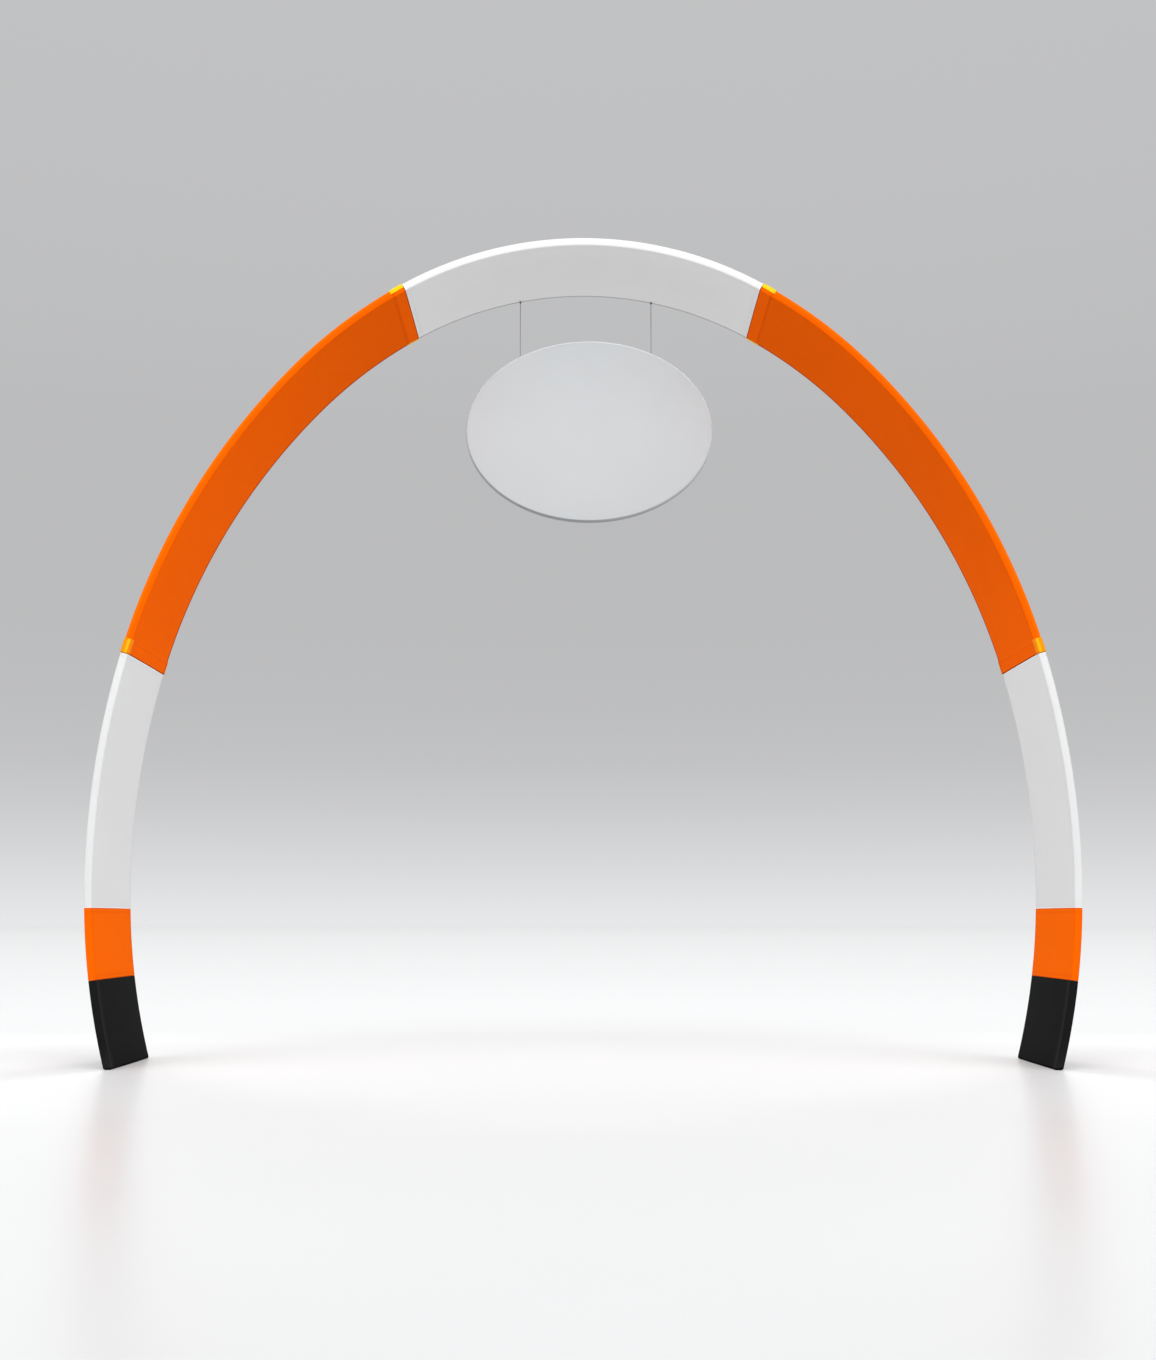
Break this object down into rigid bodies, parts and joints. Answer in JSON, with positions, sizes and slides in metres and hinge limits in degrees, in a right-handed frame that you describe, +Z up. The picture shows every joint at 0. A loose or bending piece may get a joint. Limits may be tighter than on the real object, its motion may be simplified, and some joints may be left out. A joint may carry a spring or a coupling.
{
  "type": "banner arch",
  "caption": "Free-standing horseshoe arch: a broad flat band in white and orange cloth sleeves on black feet, with an oval sign board hung on lines under its crown.",
  "frame": {"origin": "on the floor, midway between the feet and midway through the band's depth", "axes": "+X across the passage, to the right as seen from the front; +Z up; -Y out of the front, the side that the sign board does not hang on"},
  "size_m": [5.0004, 0.6696, 4.275],
  "materials": {
    "white_cloth": "white polyester knit, stretched smooth, matte",
    "orange_cloth": "orange polyester knit, stretched smooth, matte",
    "black_shoe": "black moulded end shoe, fine grain",
    "yellow_webbing": "yellow woven webbing",
    "sign_face": "plain pale grey board, matte",
    "line_grey": "thin grey braided line"
  },
  "bodies": {
    "root": {"crown_panel": "white_cloth", "arm_panel_left": "orange_cloth", "arm_panel_right": "orange_cloth", "leg_panel_left": "white_cloth", "leg_panel_right": "white_cloth", "cuff_left": "orange_cloth", "cuff_right": "orange_cloth", "foot_left": "black_shoe", "foot_right": "black_shoe", "tab_upper_front_left": "yellow_webbing", "tab_upper_back_left": "yellow_webbing", "tab_lower_front_left": "yellow_webbing", "tab_lower_back_left": "yellow_webbing", "tab_upper_front_right": "yellow_webbing", "tab_upper_back_right": "yellow_webbing", "tab_lower_front_right": "yellow_webbing", "tab_lower_back_right": "yellow_webbing", "sign_board": "sign_face", "hang_line_left": "line_grey", "hang_line_right": "line_grey", "line_knot_left": "line_grey", "line_knot_right": "line_grey"}
  },
  "joints": []
}
